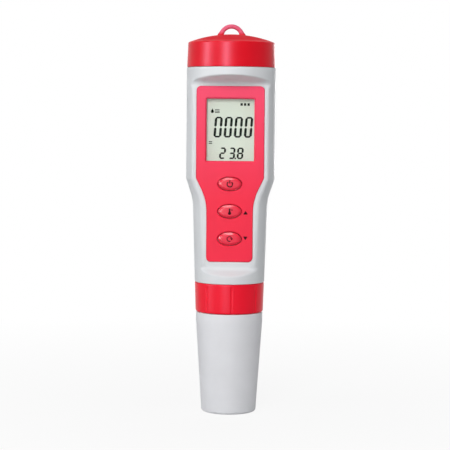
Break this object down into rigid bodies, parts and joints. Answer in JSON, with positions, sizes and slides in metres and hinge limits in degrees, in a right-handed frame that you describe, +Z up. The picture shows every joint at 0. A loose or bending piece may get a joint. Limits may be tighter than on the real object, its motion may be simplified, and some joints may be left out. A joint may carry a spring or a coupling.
{
  "type": "water quality test pen",
  "caption": "Upright pocket water tester: round red-capped body with flat display and oval keys, red collar nut, and a probe under a tapered pale cap.",
  "frame": {"origin": "middle of the protective cap's foot, on the pen's axis", "axes": "+Z up along the pen's axis, the display faces -Y, +X to the viewer's right"},
  "size_m": [0.0422, 0.0422, 0.185],
  "materials": {
    "pale_shell": "satin moulded plastic",
    "pale_cap": "satin moulded plastic",
    "red_shell": "semi-gloss moulded plastic",
    "red_panel": "satin moulded plastic",
    "clear_window": "clear acrylic",
    "display_glass": "grey-green liquid crystal glass",
    "dark_plastic": "moulded black plastic",
    "silicone_rubber": "grey silicone rubber",
    "seal_rubber": "black nitrile rubber",
    "board_green": "green solder mask on glass fibre board",
    "component_metal": "bright metal cans",
    "contact_metal": "plated spring brass",
    "steel": "polished stainless steel",
    "probe_plastic": "satin dark grey plastic",
    "probe_glass": "thin clear glass",
    "porous_white": "porous white junction"
  },
  "bodies": {
    "protective_cap": {"protective_cap": "pale_cap"},
    "probe": {"probe_head": "probe_plastic", "plug_seal": "seal_rubber", "probe_sleeve": "probe_plastic", "sleeve_seal": "seal_rubber", "probe_guard": "probe_plastic", "sensor_plate": "probe_plastic", "ph_glass": "probe_glass", "silver_wire": "component_metal", "ec_pins": "steel", "temperature_probe": "steel", "reference_junction": "porous_white", "sensor_leads": "contact_metal", "probe_board": "board_green", "plug_pins": "contact_metal"},
    "collar": {"collar": "red_shell"},
    "meter": {"housing": "pale_shell", "front_panel": "red_panel", "display_window": "clear_window", "lcd_glass": "display_glass", "lcd_frame": "dark_plastic", "contact_strip": "silicone_rubber", "keypad_mat": "silicone_rubber", "key_switches": "dark_plastic", "circuit_board": "board_green", "microcontroller": "dark_plastic", "board_components": "component_metal", "probe_socket": "dark_plastic", "socket_leads": "contact_metal", "battery_holder": "dark_plastic", "button_cells": "steel", "contact_spring": "contact_metal", "negative_strip": "contact_metal", "ring_contact": "contact_metal"},
    "power_key": {"power_key": "red_panel", "power_plunger": "dark_plastic"},
    "up_key": {"up_key": "red_panel", "up_plunger": "dark_plastic"},
    "down_key": {"down_key": "red_panel", "down_plunger": "dark_plastic"},
    "cap_seal": {"cap_seal": "seal_rubber"},
    "battery_cap": {"battery_cap": "red_shell", "cap_contact": "contact_metal"}
  },
  "joints": [
    {"name": "pen_lift", "type": "slide", "parent": "protective_cap", "child": "probe", "axis": [0, 0, 1], "range_m": [0, 0.045]},
    {"name": "collar_turn", "type": "hinge", "parent": "probe", "child": "collar", "pos_m": [0, 0, 0.0552], "axis": [0, 0, -1], "range_deg": [0, 1080]},
    {"name": "probe_release", "type": "slide", "parent": "probe", "child": "meter", "axis": [0, 0, 1], "range_m": [0, 0.0066]},
    {"name": "power_key_press", "type": "slide", "parent": "meter", "child": "power_key", "axis": [0, 1, 0], "range_m": [0, 0.0006], "stiffness_N_per_m": 600},
    {"name": "up_key_press", "type": "slide", "parent": "meter", "child": "up_key", "axis": [0, 1, 0], "range_m": [0, 0.0006], "stiffness_N_per_m": 600},
    {"name": "down_key_press", "type": "slide", "parent": "meter", "child": "down_key", "axis": [0, 1, 0], "range_m": [0, 0.0006], "stiffness_N_per_m": 600},
    {"name": "battery_cap_lift", "type": "slide", "parent": "meter", "child": "cap_seal", "axis": [0, 0, 1], "range_m": [0, 0.0072]},
    {"name": "battery_cap_turn", "type": "hinge", "parent": "cap_seal", "child": "battery_cap", "pos_m": [0, 0, 0.17], "axis": [0, 0, 1], "range_deg": [0, 1080]}
  ],
  "couplings": [
    {"joint": "collar_turn", "follows": "probe_release", "rad_per_m": 2856},
    {"joint": "battery_cap_turn", "follows": "battery_cap_lift", "rad_per_m": 2618}
  ]
}
